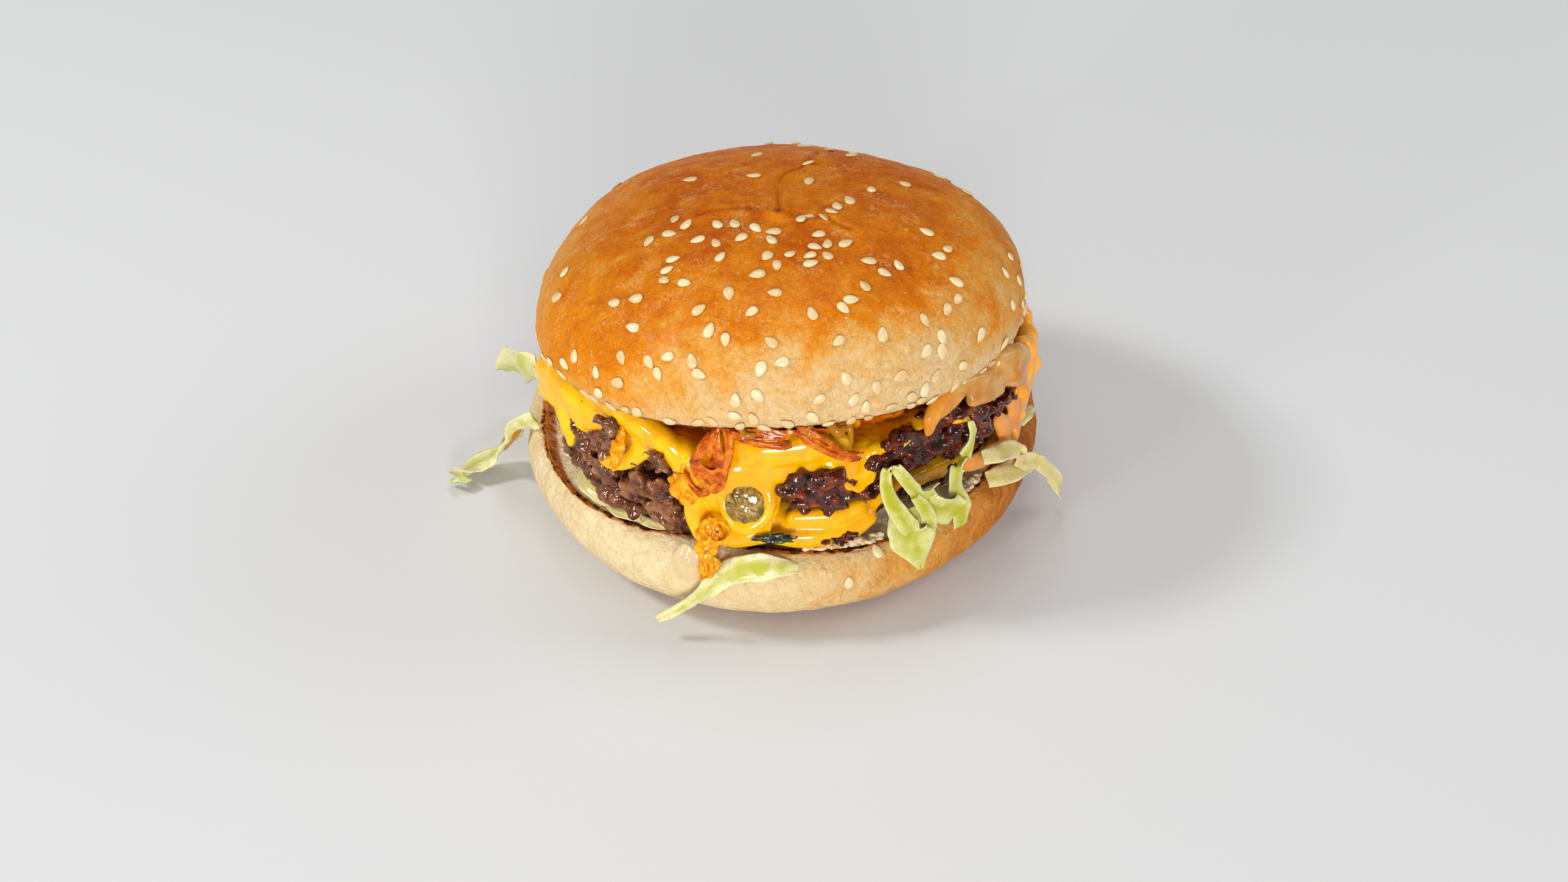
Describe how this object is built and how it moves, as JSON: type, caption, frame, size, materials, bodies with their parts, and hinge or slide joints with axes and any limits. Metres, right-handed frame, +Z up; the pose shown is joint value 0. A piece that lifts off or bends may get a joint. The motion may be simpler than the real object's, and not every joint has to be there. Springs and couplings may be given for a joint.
{
  "type": "smash burger",
  "caption": "Smash burger in a sesame bun with stacked craggy patties, melted cheese, fried onions, sauce and lettuce hanging out at the sides.",
  "frame": {"origin": "centre of the bottom bun's flat foot, on the surface it rests on", "axes": "+Z up, -Y towards the side shown in the picture, +X to its right"},
  "size_m": [0.1543, 0.128, 0.0861],
  "materials": {
    "crust": "baked, satin",
    "pale_crust": "baked, matte",
    "patty": "seared, glossy with fat",
    "cheese": "melted, glossy",
    "sauce": "glossy",
    "onion": "glossy, translucent",
    "crispy_onion": "fried, rough",
    "gherkin": "wet",
    "pepper": "wet",
    "lettuce": "leaf, satin"
  },
  "bodies": {
    "root": {"bun_bottom": "pale_crust", "bun_top": "crust", "patty_lower": "patty", "patty_upper": "patty", "cheese_lower": "cheese", "cheese_upper": "cheese", "sauce": "sauce", "onion_bed": "onion", "onion_curl": "onion", "onion_strand_left": "onion", "onion_strand_right": "onion", "crispy_onion_upper": "crispy_onion", "crispy_onion_lower": "crispy_onion", "gherkin_slice": "gherkin", "pepper_strip": "pepper", "lettuce_bed": "lettuce", "lettuce_front": "lettuce", "lettuce_strip_left": "lettuce", "lettuce_back_left": "lettuce", "lettuce_strip_right": "lettuce", "lettuce_bit_right": "lettuce", "lettuce_folded": "lettuce"}
  },
  "joints": []
}
